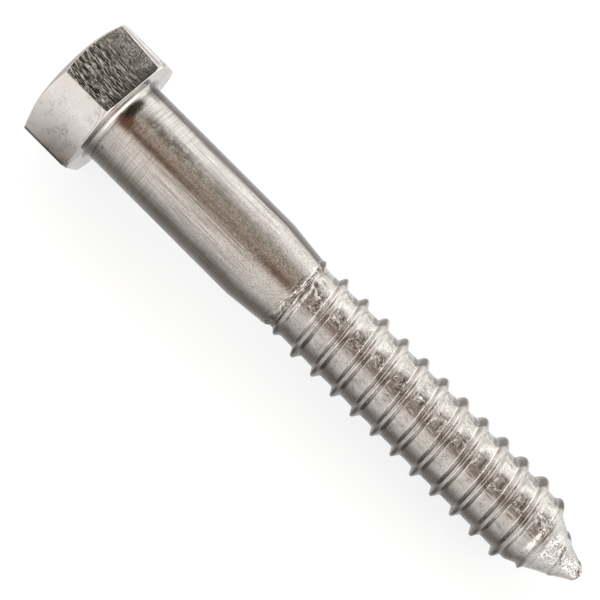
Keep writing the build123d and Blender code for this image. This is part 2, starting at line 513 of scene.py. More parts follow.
# How many turns the climbing rows make, and the places of the rows within one pitch, in
# millimetres from the crest line, close together on the ridge.
TURNS = 13
ROW_PLACES = (
    0.0, 0.14, 0.28, 0.45, 0.62, 0.8, 0.95, 1.12, 1.3, 1.55, 1.95, 2.4, 2.82,
    -2.4, -1.98, -1.62, -1.42, -1.28, -1.12, -0.96, -0.8, -0.65, -0.5, -0.38, -0.26, -0.12)
ROWS = len(ROW_PLACES)


def columns():
    """Angles of the mesh's columns, from under the bolt once round, close together at corners."""
    angles = []
    for corner in range(-150, 180, 60):
        count = 35 if abs(corner) < 120 else 21
        between = list(np.linspace(0.62, 59.38, count)[1:-1])
        angles += [corner + x for x in [0.0, 0.35, 0.62] + between + [59.38, 59.65]]
    return np.array(angles)


def flat_rings(shape, angles):
    """Rings of the head, shank and neck from the top down, and where the climbing rows start."""
    hexagon = shape.hexagon(angles)
    rings = []

    def ring(z, radius, kind):
        z = np.broadcast_to(np.asarray(z, float), angles.shape)
        radius = np.broadcast_to(np.asarray(radius, float), angles.shape)
        if kind in ("flat", "edge", "chamfer", "rim"):
            radius = np.minimum(radius, shape.bevel(z, angles))
        rings.append((z, radius, kind))

    top = -shape.height
    for radius in (1.5, 5.5, 10, 12.6):
        ring(top, radius, "top")
    ring(top + 0.015, shape.top, "top")
    edge = top + (hexagon - shape.top) * shape.top_rise
    for part in (0.1, 0.45, 0.8, 0.96):
        radius = shape.top + (hexagon - 0.07 - shape.top) * part
        ring(top + (radius - shape.top) * shape.top_rise + 0.02, radius, "chamfer")
    ring(edge - 0.01, hexagon - 0.05, "edge")
    high = edge + 0.10
    ring(high, hexagon, "flat")
    corner_angle = turn_apart(angles, np.floor(angles / 60) * 60 + 30)
    toward_corner = hexagon * np.cos(np.radians(corner_angle))
    lower = -np.maximum(toward_corner - shape.lower, 0) * shape.lower_rise
    bearing = np.minimum(hexagon, shape.lower / np.cos(np.radians(corner_angle)))
    for part in (0.12, 0.35, 0.6, 0.85, 0.96, 1):
        ring(high + (lower - 0.22 - high) * part, hexagon, "flat")
    for part, inset, drop, kind in (
            (0, 0.005, 0.12, "edge"), (0.06, 0.02, 0.10, "edge"), (0.5, 0.03, 0.09, "edge"),
            (0.94, 0.035, 0.085, "rim"), (1, 0.11, 0.01, "rim"), (1, 0.3, 0, "bearing")):
        ring(lower * (1 - part) - drop, hexagon + (bearing - hexagon) * part - inset, kind)
    wide = shape.shank + shape.fillet + 0.45
    for part in (0.25, 0.6, 0.9, 1.0):
        ring(0, (bearing - 0.3) + (wide - bearing + 0.3) * part, "bearing")
    for z, out in ((0.02, 1.02), (0.05, 0.8), (0.12, 0.62), (0.24, 0.44), (0.4, 0.28), (0.58, 0.15),
                   (0.78, 0.06), (0.95, 0.01), (1.15, -0.035), (1.35, -0.03), (1.5, 0.0), (1.9, 0.0)):
        ring(z, shape.shank + out * shape.fillet / 0.9, "shank")
    for z in (2.2, 2.35, 2.5, 2.65, 2.9, *np.linspace(4, shape.shank_end - 0.25, 14)):
        ring(z, shape.shank, "shank")
    start = shape.neck_end - 1.2
    line = shape.thread_start + shape.pitch * (angles[0] - shape.thread_turn) / 360
    start = line - shape.pitch * round((line - start) / shape.pitch)
    for z in (*np.linspace(shape.shank_end, start - 0.5, 6), start - 0.2, start):
        ring(z, shape.shank, "neck")
    return rings, start


class Skin:
    """Points given along, about and out from the axis, and the faces between rows of them."""

    def __init__(self, angles):
        self.angles = angles
        self.points, self.kinds, self.faces = [], [], []

    def add(self, z, degrees, radius=1, kind="thread"):
        """One point; the thread's radius is worked out later."""
        self.points.append((z, degrees, radius))
        self.kinds.append(kind)
        return len(self.points) - 1

    def ring(self, z, radius=1, kind="thread"):
        """A row once round, with its first number again at its end."""
        z, radius = (np.broadcast_to(value, self.angles.shape) for value in (z, radius))
        numbers = [self.add(*point, kind) for point in zip(z, self.angles, radius)]
        return numbers + numbers[:1]

    def join(self, upper, lower):
        """Faces between two rows of the same length."""
        for j in range(len(upper) - 1):
            corners = tuple(dict.fromkeys((upper[j], lower[j], lower[j + 1], upper[j + 1])))
            if len(corners) > 2:
                self.faces.append(corners)

    def join_all(self, rows):
        """Faces between all rows in turn; gives the last one back."""
        for upper, lower in zip(rows[:-1], rows[1:]):
            self.join(upper, lower)
        return rows[-1]


def wind_thread(skin, shape, base, start):
    """Rows that climb with the thread, and a wedge to the flat row at each end of them."""
    angles = skin.angles
    count = len(angles)
    share = (angles - angles[0]) / 360
    pitch = shape.pitch
    rows = sorted((place / pitch) % 1 for place in ROW_PLACES)
    total = TURNS * ROWS
    helix = [[None] * (count + 1) for _ in range(total + 1)]
    for j in range(count):
        for k in range(total + 1):
            height = start + pitch * (k // ROWS + rows[k % ROWS])
            helix[k][j] = skin.add(height + pitch * share[j], angles[j]) if j or k else base[0]
    last = skin.ring(start + pitch * (TURNS + 1))
    lower_wedge = [base]
    for m in range(1, ROWS):
        parts = m / ROWS + (rows[m] - m / ROWS) * share
        row = [skin.add(start + parts[j] * pitch * share[j], angles[j]) for j in range(1, count)]
        lower_wedge.append([base[0], *row, helix[m][0]])
    upper_wedge = []
    for m in range(1, ROWS):
        upper_wedge.append([
            skin.add(start + pitch * (TURNS + share[j]) + rows[m] * pitch * (1 - share[j]), angles[j])
            for j in range(count)] + last[:1])
    ends = [row[0] for row in helix[ROWS:] + upper_wedge] + last[:1]
    for row, end in zip(helix, ends):
        row[count] = end
    return skin.join_all(lower_wedge + helix + upper_wedge + [last])


def metal_finish(shape, along, degrees, kinds):
    """Where the flats, the worn edge, the painted shade low on the sides and the thread are, from 0 to 1.
    """
    facing = turn_apart(degrees, np.round(degrees / 60) * 60)
    sector = np.round(degrees / 60) % 6
    on_flat = (kinds == "flat").astype(float)
    from_corner = 30 - np.abs(facing)
    on_coarse = (on_flat + (kinds == "edge") * (along > -1.5) * (facing > -22)) * (sector == 0)
    from_near = np.where(facing > 0, smooth(from_corner, -0.1, 0.3), smooth(from_corner, 0.3, 1.8))
    turn = turn_apart(degrees, 0)
    on_head = np.isin(kinds, ["flat", "edge", "rim", "chamfer"])
    # Painted shade low on both sides, a little less beneath, and on the head's lower flats, its bearing
    # face and top chamfer.
    toward_bearing = 0.62 + 0.38 * smooth(along, -11, -4)
    left = np.where(on_head, toward_bearing * np.clip((turn - 48) / 42, 0, 1), smooth(turn, 46, 82))
    right = np.where(on_head, 0.5 * smooth(-turn, 31, 33.5), 0.9 * smooth(-turn, 28, 35))
    left = left * np.where(on_head, 1.0, 1 - 0.55 * smooth(along, 118, 121))
    under = np.maximum(left, right) * (1 - 0.55 * smooth(np.abs(turn), 112, 140))
    under = np.where(on_head, np.maximum(under, 0.4 * smooth(np.abs(turn), 88, 100)), under)
    under = np.where(kinds == "bearing", 0.36 + 0.34 * window(turn, 30, 55, 85, 105), under)
    under = np.where((kinds == "chamfer") & (np.abs(turn) < 88), np.maximum(under, 0.75), under)
    return {
        "coarse_flat": on_coarse * from_near,
        "satin_flat": on_flat * (sector != 0),
        "underside_shade": np.where(kinds == "top", 0.0, under),
        "worn_edge": kinds == "rim",
        "thread_zone": (kinds == "thread") & (along > shape.neck_end - 1),
    }


def build_bolt_mesh(shape, bolt_frame, low):
    """The bolt's whole surface as one closed mesh, with its finish kept as attributes."""
    skin = Skin(columns())
    count = len(skin.angles)
    rings, start = flat_rings(shape, skin.angles)
    top = skin.add(-shape.height, 0, 0, "top")
    grid = [skin.ring(*ring) for ring in rings]
    skin.faces += [(top, grid[0][j], grid[0][j + 1]) for j in range(count)]
    last = wind_thread(skin, shape, skin.join_all(grid), start)
    point = [last]
    thread_stop = start + shape.pitch * (TURNS + 1)
    for z in np.linspace(thread_stop, shape.length - 0.12, 12)[1:]:
        point.append(skin.ring(z))
    for inset in (0.86, 0.6, 0.3):
        point.append(skin.ring(shape.length, shape.tip * inset, "tip"))
    last = skin.join_all(point)
    centre = skin.add(shape.length, 0, 0, "tip")
    skin.faces += [(centre, last[j + 1], last[j]) for j in range(count)]

    along, degrees, radii = np.array(skin.points, float).T.copy()
    kinds = np.array(skin.kinds)
    soil, flank, crush = np.zeros((3, len(along)))
    turned = kinds == "thread"
    radii[turned], soil[turned], flank[turned], crush[turned] = shape.thread(
        along[turned], degrees[turned])
    plain = (kinds == "shank") | (kinds == "neck")
    sunk, soil[plain] = shape.press(along[plain], degrees[plain], radii[plain])
    neck = shape.core(along[plain], degrees[plain])[0]
    radii[plain] = np.minimum(
        np.where(kinds[plain] == "neck", neck, radii[plain]) + sunk, np.maximum(radii[plain], shape.shank))
    # The blunt end is cut on a slant.
    slant = np.cos(np.radians(degrees + 63)) * radii
    cut = shape.length - 0.75 + slant * 0.1
    blunt = (along > 127) & (along > cut)
    along[blunt] = cut[blunt] + (along[blunt] - cut[blunt]) * 0.12
    points = bolt_frame.place(along, degrees, radii)
    points[:, 2] = np.maximum(points[:, 2], low.z)
    mesh = bpy.data.meshes.new("lag_bolt_metal")
    mesh.from_pydata([tuple(p) for p in points], [], skin.faces)
    mesh.validate()
    own_place = mesh.attributes.new("bolt_place", "FLOAT_VECTOR", "POINT")
    own_place.data.foreach_set(
        "vector", shape.unrolled(along, degrees, radii).astype(np.float32).ravel())
    finish = {"soil": soil, "flank": flank, "crush": crush}
    finish.update(metal_finish(shape, along, degrees, kinds))
    for name, values in finish.items():
        layer = mesh.attributes.new(name, "FLOAT", "POINT")
        layer.data.foreach_set("value", np.clip(values.astype(float), 0, 1).astype(np.float32))
    mesh.polygons.foreach_set("use_smooth", [True] * len(mesh.polygons))
    return mesh


# ---- Materials ------------------------------------------------------------------------------


def arithmetic(operation, swapped=False):
    """An operator that adds the node for it."""

    def apply(self, other):
        return self.nodes.combine(operation, *((other, self) if swapped else (self, other)))

    return apply


class Signal:
    """One output of a node; sums and products of it are nodes too."""

    def __init__(self, nodes, socket):
        self.nodes, self.socket = nodes, socket

    __add__, __radd__ = arithmetic("ADD"), arithmetic("ADD", swapped=True)
    __sub__, __rsub__ = arithmetic("SUBTRACT"), arithmetic("SUBTRACT", swapped=True)
    __mul__, __truediv__, __pow__ = arithmetic("MULTIPLY"), arithmetic("DIVIDE"), arithmetic("POWER")

    def length(self):
        """Length of a vector."""
        return self.nodes.vector("LENGTH", self, (0, 0, 0))

    def ramp(self, low, high, start=0.0, stop=1.0):
        """Runs smoothly from start to stop while this goes from low to high."""
        node = self.nodes.new("ShaderNodeMapRange", interpolation_type="SMOOTHSTEP")
        return self.nodes.fill(node, (self, low, high, start, stop))

    def band(self, low, high, soft):
        """1 between two values and 0 outside them, with soft edges."""
        half = soft / 2
        return self.ramp(low - half, low + half) * self.ramp(high + half, high - half)


class Nodes:
    """Short calls for building a node tree."""

    def __init__(self, tree):
        self.tree = tree
        self.tree.nodes.clear()

    def new(self, kind, **settings):
        node = self.tree.nodes.new(kind)
        for key, value in settings.items():
            setattr(node, key, value)
        return node

    def fill(self, node, values, output=0):
        """Links signals or sets plain values, in turn or by name, and gives one output."""
        for key, value in values.items() if isinstance(values, dict) else enumerate(values):
            if isinstance(value, Signal):
                self.tree.links.new(value.socket, node.inputs[key])
            else:
                node.inputs[key].default_value = value
        return Signal(self, node.outputs[output]) if node.outputs else None

    def math(self, operation, a, b=0.0, clamp=False):
        return self.fill(self.new("ShaderNodeMath", operation=operation, use_clamp=clamp), (a, b))

    def vector(self, operation, a, b):
        output = "Value" if operation in ("DOT_PRODUCT", "LENGTH") else "Vector"
        return self.fill(self.new("ShaderNodeVectorMath", operation=operation), (a, b), output)

    def combine(self, operation, a, b):
        """Vector arithmetic where one side is a tuple, and plain arithmetic otherwise."""
        kind = self.vector if isinstance(a, tuple) or isinstance(b, tuple) else self.math
        return kind(operation, a, b)

    def most(self, a, b):
        return self.math("MAXIMUM", a, b)

    def noise(self, vector, scale=1.0, detail=2.0, rough=0.5, distortion=0.0):
        return self.fill(self.new("ShaderNodeTexNoise"), {
            "Vector": vector, "Scale": scale, "Detail": detail, "Roughness": rough,
            "Distortion": distortion}, "Fac")

    def cells(self, vector, scale=5.0, feature="F1"):
        """Outputs of a pattern of cells, by name."""
        node = self.new("ShaderNodeTexVoronoi", feature=feature)
        self.fill(node, {"Vector": vector, "Scale": scale})
        return {socket.name: Signal(self, socket) for socket in node.outputs}

    def split(self, kind, vector):
        """The three parts of a vector or a colour."""
        node = self.new(kind)
        self.fill(node, (vector,))
        return [Signal(self, socket) for socket in node.outputs]

    def mix(self, amount, a, b, blend="MIX"):
        node = self.new("ShaderNodeMix", data_type="RGBA", blend_type=blend)
        a, b = (value if isinstance(value, Signal) else (*value[:3], 1.0) for value in (a, b))
        return self.fill(node, {"Factor": amount, 6: a, 7: b}, 2)

    def attribute(self, name, output="Fac"):
        return Signal(self, self.new("ShaderNodeAttribute", attribute_name=name).outputs[output])


class Coat:
    """The colour of a surface, painted layer over layer."""

    def __init__(self, nodes, colour):
        self.nodes, self.colour = nodes, colour

    def paint(self, amount, colour):
        self.colour = self.nodes.mix(amount, self.colour, colour)


def new_material(name):
    material = bpy.data.materials.new(name)
    material.use_nodes = True
    return material, Nodes(material.node_tree)


BARE = (1.0, 0.97, 0.93)
SHADE = (0.3, 0.28, 0.26)
# Stained spots: the middle, in millimetres along, up and to the side, and one over the reach
# each way. Two are under the head, and the streak is by the neck.
RUST_SPOT = ((2.75, 9.0, 3.75), (0.36, 0.4, 0.4))
DARK_SPOT = ((1.85, 9.5, 1.1), (0.56, 0.29, 0.25))
NECK_STREAK = ((43.5, 8.2, 3.9), (0.13, 0.7, 0.85))
# Half of a hexagon's side, as a share of its width across flats.
HALF_SIDE = 0.28868


def steel_material(colours, sizes):
    """Worn stainless steel: turned, drawn, rolled and ground zones in one material."""
    material, n = new_material("worn_stainless_steel")
    place = n.attribute("bolt_place", "Vector")
    along, up, side = n.split("ShaderNodeSeparateXYZ", place)
    on_thread = n.attribute("thread_zone")
    coarse = n.attribute("coarse_flat")
    satin = n.attribute("satin_flat")
    soil = n.attribute("soil")
    flank = n.attribute("flank")
    crush = n.attribute("crush")
    turned_lines = n.noise(place * (4.6, 0.13, 0.13), rough=0.75)
    drawn_lines = n.noise(place * (0.085, 4.1, 4.1), rough=0.75)
    cloud = n.noise(place, 0.22, 3.0, 0.55)
    grain = n.noise(place, 3.2, 3.0, 0.6)
    crumbs = n.noise(place, 2.1, 4.0, 0.7)
    on_shank = along.ramp(0.5, 1.2) * along.ramp(50.0, 48.6)
    near_head = on_shank * along.ramp(24.0, 8.0, 0.15, 1.0)
    further = on_shank * (along.ramp(43.0, 36.0) * along.ramp(3.0, 18.0, 0.25, 1.0))
    # Angle about the bolt, and the distance from the crest line of the ridge.
    turn = n.math("ARCTAN2", side, up) * math.degrees(1)
    pitch = sizes.thread_pitch / MM
    neck_end = (sizes.shank_length + sizes.neck_length) / MM
    climb = (turn - math.degrees(sizes.thread_turn)) * (pitch / 360)
    from_crest = along - (neck_end + sizes.thread_run_in / MM) - climb
    from_crest = n.fill(n.new("ShaderNodeMath", operation="WRAP"), (from_crest, pitch / 2, -pitch / 2))
    from_crest = from_crest + (n.noise(place, 1.1, 2.0, 0.6) - 0.5) * 0.28

    # Colour: clean steel in soft clouds, with the lines of turning and drawing.
    steel = tuple(colours.steel)
    coat = Coat(n, n.mix(cloud.ramp(0.3, 0.7), steel, tuple(c * 0.88 for c in steel)))
    lines = n.math("ADD", turned_lines.ramp(0.52, 0.66) * near_head,
                   drawn_lines.ramp(0.5, 0.62) * further, clamp=True)
    coat.paint(lines * 0.55, (0.26, 0.215, 0.18))
    fair = n.math("ADD", turned_lines.ramp(0.46, 0.34) * near_head,
                  drawn_lines.ramp(0.47, 0.36) * further, clamp=True)
    coat.paint(fair * 0.45, (0.97, 0.92, 0.87))
    sparkle = n.noise(place * (0.55, 1.0, 1.0), 4.4, 1.0, 0.7)
    sprinkled = on_shank * along.ramp(12.0, 36.0, 0.35, 1.0) * 0.5
    coat.paint(sparkle.ramp(0.5, 0.36) * sprinkled, (0.26, 0.2, 0.17))
    coat.paint(sparkle.ramp(0.58, 0.72) * (sprinkled * 0.6), (0.95, 0.88, 0.82))
    speckle = on_shank * turn.band(4.0, 32.0, 10.0) * 0.55
    coat.paint(grain.ramp(0.52, 0.6) * speckle, (0.27, 0.235, 0.21))
    coat.paint(grain.ramp(0.47, 0.4) * speckle, (0.95, 0.9, 0.86))
    coat.paint(satin, colours.satin)
    # Painted shade: a slightly darker band along the shank, 4 to 19 degrees right of the upper flat.
    coat.paint(on_shank * turn.band(-19.0, -4.0, 6.0) * 0.22, (0.4, 0.39, 0.37))
    # A brown streak and a grey smudge that run from the head along the shank.
    patchy = n.noise(place * (0.5, 1.3, 1.3), 1.0, 4.0, 0.7)
    brown = turn.band(23.5, 30.0, 4.0) * (along.ramp(3.0, 6.0) * along.ramp(27.0, 16.0))
    coat.paint(brown * patchy.ramp(0.32, 0.55, 0.3, 0.85), (0.27, 0.19, 0.15))
    blots = n.noise(place * (0.55, 0.8, 0.8), 1.0, 5.0, 0.8)
    smudge = along.ramp(3.0, 7.0) * along.ramp(30.0, 13.0, 0.3, 1.0)
    smudge = smudge * (turn.band(-4.0, 9.0, 8.0) * along.ramp(39.0, 34.0)) * blots.ramp(0.42, 0.56)
    coat.paint(smudge * 0.8, (0.17, 0.17, 0.155))
    # Small dark pits that gather in patches on the satin flats.
    patches = n.noise(place, 0.36, 3.0, 0.65).ramp(0.5, 0.6)
    pits = n.cells(place * (1.35, 1.6, 1.6))["Distance"].ramp(0.5, 0.3) * patches
    specks = n.noise(place, 2.7, 3.0, 0.7).ramp(0.6, 0.68) * cloud.ramp(0.4, 0.6, 0.2, 1.0)
    pits = n.most(pits * grain.ramp(0.42, 0.52), specks * 0.7) * n.most(satin, on_thread * 0.8)
    coat.paint(pits * 0.9, (0.15, 0.115, 0.1))
    # The facet worn along the lower edge of the satin flat beside the coarse one.
    bend = n.most((side * COS_60 - up * SIN_60) / -8.1, 0.0) ** 4.0
    below = along + 0.22 + bend * 1.5 + (grain - 0.5) * 0.3
    beside = satin * turn.band(30.0, 62.0, 3.0)
    coat.paint(below.ramp(-0.05, 0.15) * beside * 0.5, (0.92, 0.88, 0.86))
    outline = below.band(-0.14, 0.06, 0.12) * beside * crumbs.ramp(0.4, 0.5)
    coat.paint(outline * 0.6, (0.25, 0.21, 0.19))
    # The coarse flat: broken scratches that run along the bolt and bend a little.
    bow = along * along * 0.012 + along * 0.08
    warped = n.fill(n.new("ShaderNodeCombineXYZ"), {0: along, 2: side + bow})
    streaks = n.noise(warped * (0.3, 1.0, 6.2), rough=0.8)
    broken = n.noise(warped * (1.0, 1.0, 6.0), rough=0.8)
    ragged = side.ramp(1.0, -7.0)
    lined = streaks.ramp(0.5, 0.57) * broken.ramp(0.44, 0.54, 0.12, 1.0)
    speckled = n.noise(warped * (0.8, 1.0, 1.3), 3.6, 2.5, 0.8, 0.3).ramp(0.5, 0.6)
    scratch = n.most(lined * (1.0 - ragged * 0.5), speckled * (ragged * 0.8))
    scratch = scratch * n.noise(warped, 0.3).ramp(0.25, 0.6, 0.55, 1.0)
    scratch = scratch * along.ramp(-0.3, -3.0, 0.3, 1.0)
    coat.paint(coarse, n.mix(scratch, colours.coarse_dark, colours.coarse_light))
    # The bevel worn on the corner beside it: its strip in grey, a painted highlight along its edge and
    # a painted shade line further in.
    width = BEVEL_WIDTH + (along + BEVEL_TOP) * BEVEL_SPREAD
    edge_at = side + sizes.head_across_flats / MM * HALF_SIDE - width + (grain - 0.5) * 0.25
    coat.paint(coarse * edge_at.ramp(0.05, -0.05), (0.52, 0.525, 0.53))
    coat.paint(edge_at.band(-0.24, -0.02, 0.1) * coarse * 0.9, (1.0, 0.98, 0.95))
    coat.paint(edge_at.band(-0.52, -0.3, 0.12) * coarse * 0.6, (0.3, 0.29, 0.28))
    # Rolling marks on the lands: fine lines along the bolt and dark specks.
    long_lines = n.noise(place * (0.55, 3.4, 3.4), 1.0, 3.0, 0.7)
    marked = long_lines.ramp(0.55, 0.66) * on_thread * turn.ramp(36.0, 26.0, 0.65, 1.0)
    coat.paint(marked * 0.4, (0.26, 0.22, 0.19))
    mottle = n.noise(place, 2.0, 4.0, 0.75)
    mottled = on_thread * turn.ramp(36.0, 26.0, 0.5, 1.0)
    coat.paint(mottle.ramp(0.55, 0.64) * mottled * 0.36, (0.3, 0.26, 0.23))
    coat.paint(mottle.ramp(0.48, 0.36) * mottled * 0.6, BARE)
    # The ridge: painted shade on its flanks and crest at the left, rubbed flanks at the right that
    # are partly a painted highlight, a painted highlight along its foot, creases on its crest, scale
    # where the dies met, and painted shade on its crest and flanks further round.
    left_half = turn.ramp(20.0, 32.0) * turn.ramp(60.0, 44.0, 0.7, 1.0)
    crest = from_crest.band(-0.42, 0.14, 0.1)
    flanks = from_crest.band(-0.8, -0.4, 0.2) * 0.46 + from_crest.band(0.78, 1.3, 0.2) * 0.36
    # Painted shade: darkens both flanks and the crest of the ridge on its left half.
    left_ridge_shade = (flanks + crest * 0.22) * left_half * on_thread * along.ramp(52.0, 56.0)
    coat.paint(left_ridge_shade, (0.13, 0.115, 0.105))
    dashes = n.noise(place * (0.3, 1.4, 1.4), 1.0, 3.0, 0.7)
    # Rubbed flanks towards the right: rougher, and lighter in colour partly as a painted highlight.
    rubbed_flank_and_highlight = turn.band(-55.0, 17.0, 12.0) * flank * dashes.ramp(0.3, 0.5, 0.5, 1.0)
    coat.paint(rubbed_flank_and_highlight * 0.65, (0.94, 0.9, 0.86))
    # Painted highlight: a bright line along the head-side foot of the ridge.
    foot_highlight = from_crest.band(-1.36, -1.16, 0.1) * turn.band(-42.0, 22.0, 10.0)
    coat.paint(foot_highlight * on_thread * 0.6, (0.95, 0.91, 0.86))
    crease = from_crest.band(-0.22, 0.02, 0.14) * turn.band(-3.0, 15.0, 8.0)
    crease = crease * dashes.ramp(0.4, 0.52) * flank.ramp(0.5, 0.9)
    joint = turn.band(DIE_JOINT - 6.0, DIE_JOINT + 6.0, 9.0) * (flank * 0.8 + 0.2)
    joint = joint * on_thread * cloud.ramp(0.2, 0.7, 0.6, 1.0)
    coat.paint(joint * 0.82, (0.17, 0.13, 0.105))
    shaded = turn.band(1.0, 24.0, 12.0) * flank * grain.ramp(0.3, 0.6, 0.6, 1.0)
    shaded = shaded * from_crest.band(-0.75, 0.95, 0.3)
    coat.paint(shaded * 0.9, (0.31, 0.265, 0.23))
    # Painted shade on the head-side flank of the ridge at the right.
    near_flank_shade = from_crest.band(-1.08, -0.34, 0.16) * turn.band(-60.0, 1.0, 10.0)
    near_flank_shade = near_flank_shade * on_thread * turn.ramp(-8.0, -24.0, 0.1, 0.85)
    coat.paint(near_flank_shade, (0.46, 0.43, 0.4))
    slant = from_crest - turn.ramp(-13.0, -45.0, 0.3, 1.4)
    for zone, strength, colour in (
            # Painted shade on the crest, and more on the part of it that faces the brightest light.
            (from_crest.band(-0.36, 0.3, 0.12) * turn.band(-60.0, 3.0, 8.0), 0.6, (0.58, 0.55, 0.52)),
            (from_crest.band(-0.78, 0.95, 0.2) * turn.band(-11.0, 1.0, 7.0), 0.5, (0.56, 0.53, 0.5)),
            # Painted shade: a darker slant down the far side of the ridge at the right, and on the land
            # behind it.
            (slant.band(-0.2, 0.2, 0.24) * turn.band(-55.0, -14.0, 12.0), 0.6, SHADE),
            (from_crest.band(0.8, 2.7, 0.4) * turn.band(-38.5, -32.0, 3.0), 0.4, SHADE),
            # Painted shade on the ends of the crest on both sides.
            (from_crest.band(-0.45, 0.6, 0.25) * turn.ramp(76.0, 90.0), 0.7, (0.16, 0.15, 0.14)),
            (from_crest.band(-0.3, 0.75, 0.25) * turn.band(-39.0, -22.0, 5.0), 0.34, SHADE)):
        coat.paint(zone * on_thread * strength, colour)
    # Scale in hollows and in the crushed folds, with bright torn edges between, partly a painted highlight.
    rumple = n.noise(place, 0.85, 2.0, 0.6, 0.8)
    crumple = (crush + (rumple - 0.5) * 1.2).ramp(0.36, 0.56)
    shards = n.vector("ADD", place * (0.55, 0.95, 0.95), rumple)
    chip = n.cells(shards, 1.5)
    chips = n.split("ShaderNodeSeparateColor", chip["Color"])[0]
    folds = crumple * n.most(chips.ramp(0.38, 0.32), rumple.ramp(0.47, 0.4) * 0.6)
    tinted = crumple * turn.ramp(3.0, 14.0, 0.05, 0.9)
    coat.paint(tinted * 0.55, (0.3, 0.225, 0.175))
    dirt = from_crest.band(-2.45, -1.8, 0.3) * turn.band(0.0, 19.0, 7.0)
    dirt = dirt * (on_thread * (1.0 - flank)) * crumbs.ramp(0.66, 0.46)
    soiled = n.most(soil * grain.ramp(0.3, 0.52, 0.35, 1.0), n.most(folds * 0.6, dirt * 0.85))
    soiled = n.most(soiled, crease * 0.85)
    # Ragged darkening of the land on the head side of each ridge, on the right.
    right_land_darkening = from_crest.band(-2.5, -1.35, 0.3) * turn.band(-58.0, -30.0, 8.0)
    right_land_darkening = right_land_darkening * on_thread * crumbs.ramp(0.36, 0.56, 0.3, 0.85)
    soiled = n.most(soiled, right_land_darkening * 0.75)
    coat.paint(soiled * 0.9, colours.soot)
    # Bright torn edges of the folds: bare metal, and partly a painted highlight along the facets.
    torn = n.cells(shards, 1.5, "DISTANCE_TO_EDGE")["Distance"].ramp(0.13, 0.07)
    torn = n.most(torn * crumbs.ramp(0.47, 0.53), chips.ramp(0.8, 0.84) * 0.6) * crumple
    coat.paint(torn * 0.85, (1.0, 0.96, 0.92))
    foot = from_crest.band(1.15, 1.75, 0.2) * turn.band(3.0, 17.0, 6.0)
    coat.paint(foot * on_thread * 0.6, (0.22, 0.18, 0.15))
    # The torn lip where the rolled thread meets the neck.
    frayed = n.noise(place * (1.5, 0.8, 0.8), 1.0, 3.0, 0.7, 0.4)
    lip_at = along - neck_end + (n.noise(place, 0.6, 3.0, 0.65) - 0.5) * 2.6
    split_line = lip_at.band(0.24, 0.5, 0.12) * crumbs.ramp(0.42, 0.5)
    coat.paint(split_line * 0.85, (0.14, 0.115, 0.095))
    lip = lip_at.band(-0.3, 1.1, 0.5)
    coat.paint(lip * frayed.ramp(0.5, 0.56) * 0.8, (0.2, 0.16, 0.13))
    coat.paint(lip * frayed.ramp(0.46, 0.4) * 0.7, BARE)
    # The point: painted shade over it, strongest on its top and right side, and dark grains that gather
    # along its middle.
    on_point = along.ramp(117.5, 120.5)
    peppered = n.noise(place, 3.0, 2.0, 0.75).ramp(0.48, 0.56)
    bunched = n.noise(place, 0.55, 3.0, 0.7).ramp(0.4, 0.54, 0.35, 1.0)
    bunched = bunched + along.ramp(124.0, 129.0, 0.0, 0.5)
    peppered = peppered * bunched * (turn.band(-4.0, 46.0, 16.0) * 0.75 + 0.25)
    # Painted shade over the point, strongest from its top round to its right side.
    coat.paint(on_point * turn.ramp(40.0, 10.0, 0.2, 0.8), (0.64, 0.62, 0.6))
    coat.paint(peppered * on_point * 0.9, (0.1, 0.08, 0.07))
    # The rust-tinted spot under the head, the dark one beside it and the streak by the neck.
    blur = n.noise(place * (2.2, 0.7, 0.7), 1.0, 4.0, 0.7) * 0.9
    spot, streak, dark = (((place - middle) * reach).length() for middle, reach in (
        RUST_SPOT, NECK_STREAK, DARK_SPOT))
    streak = (streak + drawn_lines * 0.8).ramp(1.35, 0.6)
    rusty = n.most((spot + blur).ramp(1.4, 0.8), streak * 0.6)
    coat.paint(rusty * 0.8, colours.rust)
    dark = (dark + blur).ramp(1.4, 0.8) * along.ramp(0.6, 1.0)
    coat.paint(dark * 0.92, colours.soot)
    shade = (along + blur * 1.5).ramp(5.5, 3.6) * (turn.band(-50.0, -23.0, 8.0) * along.ramp(0.5, 0.9))
    coat.paint(shade * 0.7, (0.2, 0.19, 0.18))
    # The rubbed lower edge of the head, and a painted shade line down the corner low at its side.
    coat.paint(n.attribute("worn_edge") * 0.9, BARE)
    corner_shade_line = turn.band(88.3, 91.0, 1.0) * along.band(-12.1, 0.05, 0.1)
    coat.paint(corner_shade_line * 0.75, (0.12, 0.125, 0.11))
    # Painted shade: the colour is darkened low on both sides of the bolt, on the head's lower flats,
    # its bearing face and most of its top chamfer; on the thread's right side the shade is lighter
    # except on the head-side flank of each ridge.
    at_right = on_thread * turn.band(-80.0, -27.0, 4.0)
    spared = 0.7 - from_crest.band(-1.3, -0.1, 0.2) * 0.62
    shaded_coat = n.mix(1.0, coat.colour, colours.underside_shade, "MULTIPLY")
    coat.paint(n.attribute("underside_shade") * (1.0 - at_right * spared), shaded_coat)

    rough = 0.18 + cloud.ramp(0.3, 0.7) * 0.05 + rubbed_flank_and_highlight * 0.2 + lines * 0.1 + satin * 0.12
    rough = n.math("ADD", rough + coarse * 0.2 - crumple * 0.03, soiled * 0.25, clamp=True)

